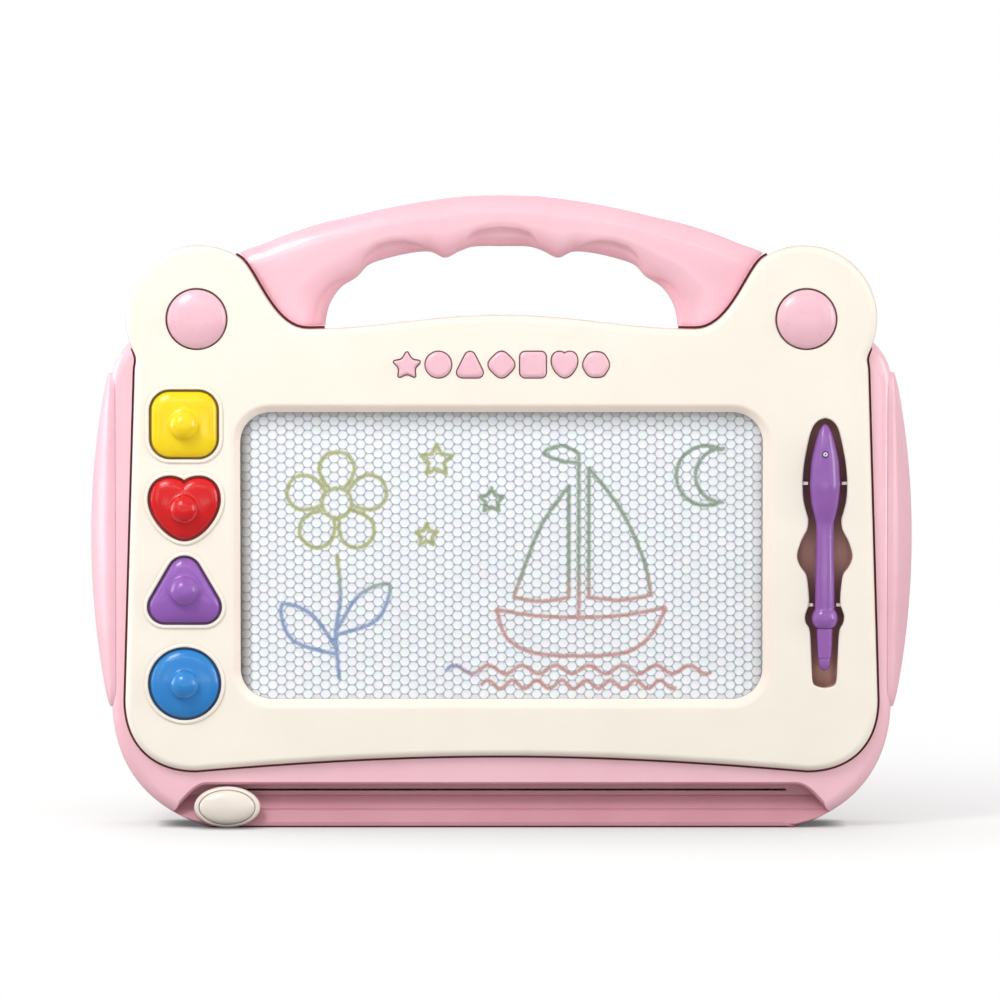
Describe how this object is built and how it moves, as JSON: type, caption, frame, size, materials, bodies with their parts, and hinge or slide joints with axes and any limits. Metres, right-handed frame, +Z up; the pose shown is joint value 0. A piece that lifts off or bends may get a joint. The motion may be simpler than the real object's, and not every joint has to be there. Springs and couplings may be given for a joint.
{
  "type": "magnetic drawing board",
  "caption": "Children's magnetic drawing board with carry handle, honeycomb screen, shaped stamps in wells, a clipped-in pen and a sliding eraser along the bottom edge.",
  "frame": {"origin": "on the flat base of the front housing, at the middle of the board's length", "axes": "+X to the right seen from the front, +Y to the back, +Z up; the screen faces -Y and the board stands on its bottom edge"},
  "size_m": [0.3304, 0.043, 0.254],
  "materials": {
    "cream_plastic": "satin moulded plastic",
    "pink_plastic": "satin moulded plastic",
    "grip_plastic": "fine-grained plastic",
    "cap_plastic": "gloss",
    "panel_film": "clear polyester film",
    "panel_core": "honeycomb with white fluid",
    "inner_plastic": "matt",
    "magnet_rubber": "matt magnetic rubber",
    "knob_plastic": "gloss",
    "yellow_plastic": "gloss",
    "red_plastic": "gloss",
    "purple_plastic": "gloss",
    "blue_plastic": "gloss",
    "pen_plastic": "gloss",
    "screw_steel": "zinc plated"
  },
  "bodies": {
    "board": {"front_fascia": "cream_plastic", "front_housing": "pink_plastic", "rear_cover": "pink_plastic", "shape_insert": "cap_plastic", "side_grip_left": "grip_plastic", "side_grip_right": "grip_plastic", "ear_cap_left": "cap_plastic", "ear_cap_right": "cap_plastic", "panel_front_film": "panel_film", "panel_honeycomb": "panel_core", "panel_back_film": "panel_film", "panel_retainer": "inner_plastic", "rear_screw_1": "screw_steel", "rear_screw_2": "screw_steel", "rear_screw_3": "screw_steel", "rear_screw_4": "screw_steel", "rear_screw_5": "screw_steel", "rear_screw_6": "screw_steel", "rear_screw_7": "screw_steel", "rear_screw_8": "screw_steel", "retainer_screw_1": "screw_steel", "retainer_screw_2": "screw_steel", "retainer_screw_3": "screw_steel", "retainer_screw_4": "screw_steel", "fascia_screw_1": "screw_steel", "fascia_screw_2": "screw_steel", "fascia_screw_3": "screw_steel", "fascia_screw_4": "screw_steel"},
    "eraser": {"eraser_carriage": "inner_plastic", "eraser_magnet": "magnet_rubber", "slider_knob": "knob_plastic", "slider_cap": "knob_plastic", "slider_screw": "screw_steel"},
    "square_stamp": {"stamp_square": "yellow_plastic", "stamp_square_magnet": "magnet_rubber"},
    "heart_stamp": {"stamp_heart": "red_plastic", "stamp_heart_magnet": "magnet_rubber"},
    "triangle_stamp": {"stamp_triangle": "purple_plastic", "stamp_triangle_magnet": "magnet_rubber"},
    "circle_stamp": {"stamp_circle": "blue_plastic", "stamp_circle_magnet": "magnet_rubber"},
    "pen": {"pen_barrel": "pen_plastic", "pen_nose": "pen_plastic", "pen_tip": "pen_plastic", "pen_magnet": "magnet_rubber"}
  },
  "joints": [
    {"name": "eraser_slide", "type": "slide", "parent": "board", "child": "eraser", "axis": [1, 0, 0], "range_m": [0, 0.2202]},
    {"name": "square_stamp_lift", "type": "slide", "parent": "board", "child": "square_stamp", "axis": [0, -1, 0], "range_m": [0, 0.03]},
    {"name": "heart_stamp_lift", "type": "slide", "parent": "board", "child": "heart_stamp", "axis": [0, -1, 0], "range_m": [0, 0.03]},
    {"name": "triangle_stamp_lift", "type": "slide", "parent": "board", "child": "triangle_stamp", "axis": [0, -1, 0], "range_m": [0, 0.03]},
    {"name": "circle_stamp_lift", "type": "slide", "parent": "board", "child": "circle_stamp", "axis": [0, -1, 0], "range_m": [0, 0.03]},
    {"name": "pen_lift", "type": "slide", "parent": "board", "child": "pen", "axis": [0, -1, 0], "range_m": [0, 0.03]}
  ]
}
